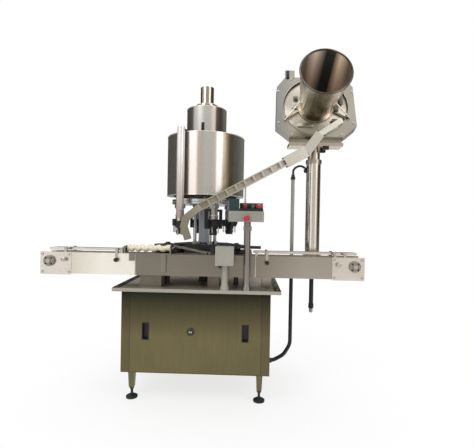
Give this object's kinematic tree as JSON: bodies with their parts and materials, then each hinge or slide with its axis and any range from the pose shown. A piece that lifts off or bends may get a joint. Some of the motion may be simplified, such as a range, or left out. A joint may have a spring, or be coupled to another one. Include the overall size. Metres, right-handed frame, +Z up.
{
  "type": "bottle capping machine",
  "caption": "Rotary bottle capping machine with a slat conveyor, star wheels, turret heads under a steel drum, and a cap sorter on a column feeding a sloping chute.",
  "frame": {"origin": "On the floor under the middle of the whole machine's box.", "axes": "X runs along the conveyor in the direction the bottles travel, Y points away from the operator to the back, Z is up."},
  "size_m": [1.95, 0.8556, 2.0819],
  "materials": {
    "olive_steel": "dull olive-brown satin",
    "stainless": "brushed stainless",
    "bright_stainless": "bright brushed stainless",
    "polished_steel": "polished stainless",
    "light_steel": "light grey satin",
    "dark_steel": "blackened steel",
    "black_plastic": "matte black",
    "black_rubber": "dull rubber",
    "white_plastic": "cream machined plastic",
    "grey_plastic": "grey conveyor slats",
    "red_plastic": "glossy red",
    "dark_red_plastic": "glossy dark red",
    "green_plastic": "glossy dark green",
    "cast_grey": "grey cast housing"
  },
  "bodies": {
    "machine": {"cabinet_shell": "olive_steel", "tabletop": "stainless", "leg_tubes": "olive_steel", "levelling_feet": "black_plastic", "conveyor_sides": "stainless", "conveyor_bed": "stainless", "end_plates": "bright_stainless", "slat_chain": "grey_plastic", "flange_bearings": "bright_stainless", "conveyor_pedestals": "stainless", "guide_rails": "bright_stainless", "rail_clamps": "dark_steel", "screw_carriage": "stainless", "centre_post": "polished_steel", "guide_deck": "dark_steel", "drum_cover": "polished_steel", "upper_cover": "polished_steel", "top_tube": "polished_steel", "gearmotor": "cast_grey", "column_arm": "stainless", "column": "polished_steel", "console_post": "stainless", "console_box": "light_steel", "console_bezel": "black_plastic", "junction_box": "light_steel", "conduit": "light_steel", "upper_hose": "black_rubber", "lower_hose": "black_rubber"},
    "panel": {"front_panel": "olive_steel", "panel_pulls": "black_plastic"},
    "lock": {"panel_lock": "polished_steel"},
    "tail_shaft": {"tail_sprocket": "stainless"},
    "drive_shaft": {"drive_sprocket": "stainless"},
    "knob_left": {"clamp_knob_left": "black_plastic"},
    "knob_right": {"clamp_knob_right": "black_plastic"},
    "screw": {"timing_screw": "white_plastic"},
    "turret": {"main_star": "dark_steel", "head_carrier": "stainless"},
    "infeed": {"infeed_star": "dark_steel"},
    "outfeed": {"outfeed_star": "dark_steel"},
    "mast": {"lift_mast": "stainless", "guide_rod": "black_plastic", "sorter_housing": "stainless", "hopper": "polished_steel", "sorter_motor": "cast_grey", "cap_chute": "light_steel", "chute_stay": "bright_stainless"},
    "disc": {"sorting_disc": "bright_stainless"},
    "stop_push": {"stop_button": "red_plastic"},
    "red_push": {"run_button_red": "dark_red_plastic"},
    "green_push": {"run_button_green": "green_plastic"},
    "mushroom_push": {"mushroom_button": "red_plastic"},
    "press_1": {"head_1": "stainless"},
    "spindle_1": {"chuck_1": "dark_steel"},
    "press_2": {"head_2": "stainless"},
    "spindle_2": {"chuck_2": "dark_steel"},
    "press_3": {"head_3": "stainless"},
    "spindle_3": {"chuck_3": "dark_steel"},
    "press_4": {"head_4": "stainless"},
    "spindle_4": {"chuck_4": "dark_steel"}
  },
  "joints": [
    {"name": "turret_spin", "type": "hinge", "parent": "machine", "child": "turret", "pos_m": [-0.01, 0.07882, 0.9], "axis": [0, 0, 1], "continuous": true},
    {"name": "infeed_spin", "type": "hinge", "parent": "machine", "child": "infeed", "pos_m": [-0.23045, -0.06368, 0.9], "axis": [0, 0, 1], "continuous": true},
    {"name": "outfeed_spin", "type": "hinge", "parent": "machine", "child": "outfeed", "pos_m": [0.21045, -0.06368, 0.9], "axis": [0, 0, 1], "continuous": true},
    {"name": "screw_spin", "type": "hinge", "parent": "machine", "child": "screw", "pos_m": [-0.3, -0.18018, 0.917], "axis": [1, 0, 0], "continuous": true},
    {"name": "drive_spin", "type": "hinge", "parent": "machine", "child": "drive_shaft", "pos_m": [0.917, -0.15118, 0.833], "axis": [0, 1, 0], "continuous": true},
    {"name": "tail_spin", "type": "hinge", "parent": "machine", "child": "tail_shaft", "pos_m": [-0.917, -0.15118, 0.833], "axis": [0, 1, 0], "continuous": true},
    {"name": "panel_pull", "type": "slide", "parent": "machine", "child": "panel", "axis": [0, -1, 0], "range_m": [0, 0.25]},
    {"name": "lock_turn", "type": "hinge", "parent": "panel", "child": "lock", "pos_m": [-0.05, -0.23218, 0.426], "axis": [0, -1, 0], "range_deg": [0, 90]},
    {"name": "knob_left_turn", "type": "hinge", "parent": "machine", "child": "knob_left", "pos_m": [-0.508, -0.22618, 0.846], "axis": [0, -1, 0], "range_deg": [0, 360]},
    {"name": "knob_right_turn", "type": "hinge", "parent": "machine", "child": "knob_right", "pos_m": [0.398, -0.22618, 0.846], "axis": [0, -1, 0], "range_deg": [0, 360]},
    {"name": "mast_lift", "type": "slide", "parent": "machine", "child": "mast", "axis": [0, 0, 1], "range_m": [0, 0.08]},
    {"name": "disc_spin", "type": "hinge", "parent": "mast", "child": "disc", "pos_m": [0.694, -0.07118, 1.826], "axis": [0, -0.9563, 0.2924], "continuous": true},
    {"name": "stop_press", "type": "slide", "parent": "machine", "child": "stop_push", "axis": [0, 1, 0], "range_m": [0, 0.005], "stiffness_N_per_m": 600, "springref_m": -0.006},
    {"name": "red_press", "type": "slide", "parent": "machine", "child": "red_push", "axis": [0, 0, -1], "range_m": [0, 0.005], "stiffness_N_per_m": 600, "springref_m": -0.006},
    {"name": "green_press", "type": "slide", "parent": "machine", "child": "green_push", "axis": [0, 0, -1], "range_m": [0, 0.005], "stiffness_N_per_m": 600, "springref_m": -0.006},
    {"name": "mushroom_press", "type": "slide", "parent": "machine", "child": "mushroom_push", "axis": [0, 0, -1], "range_m": [0, 0.005], "stiffness_N_per_m": 600, "springref_m": -0.006},
    {"name": "head_1_press", "type": "slide", "parent": "turret", "child": "press_1", "axis": [0, 0, -1], "range_m": [0, 0.03]},
    {"name": "chuck_1_spin", "type": "hinge", "parent": "press_1", "child": "spindle_1", "pos_m": [0.06118, -0.08105, 1.05], "axis": [0, 0, 1], "continuous": true},
    {"name": "head_2_press", "type": "slide", "parent": "turret", "child": "press_2", "axis": [0, 0, -1], "range_m": [0, 0.03]},
    {"name": "chuck_2_spin", "type": "hinge", "parent": "press_2", "child": "spindle_2", "pos_m": [0.14987, 0.15, 1.05], "axis": [0, 0, 1], "continuous": true},
    {"name": "head_3_press", "type": "slide", "parent": "turret", "child": "press_3", "axis": [0, 0, -1], "range_m": [0, 0.03]},
    {"name": "chuck_3_spin", "type": "hinge", "parent": "press_3", "child": "spindle_3", "pos_m": [-0.08118, 0.23869, 1.05], "axis": [0, 0, 1], "continuous": true},
    {"name": "head_4_press", "type": "slide", "parent": "turret", "child": "press_4", "axis": [0, 0, -1], "range_m": [0, 0.03]},
    {"name": "chuck_4_spin", "type": "hinge", "parent": "press_4", "child": "spindle_4", "pos_m": [-0.16987, 0.00764, 1.05], "axis": [0, 0, 1], "continuous": true}
  ],
  "couplings": [
    {"joint": "infeed_spin", "follows": "turret_spin", "ratio": -2},
    {"joint": "outfeed_spin", "follows": "turret_spin", "ratio": -2},
    {"joint": "screw_spin", "follows": "turret_spin", "ratio": -4},
    {"joint": "drive_spin", "follows": "turret_spin", "ratio": -3.5},
    {"joint": "tail_spin", "follows": "turret_spin", "ratio": -3.5},
    {"joint": "chuck_1_spin", "follows": "turret_spin", "ratio": -5},
    {"joint": "chuck_2_spin", "follows": "turret_spin", "ratio": -5},
    {"joint": "chuck_3_spin", "follows": "turret_spin", "ratio": -5},
    {"joint": "chuck_4_spin", "follows": "turret_spin", "ratio": -5}
  ]
}
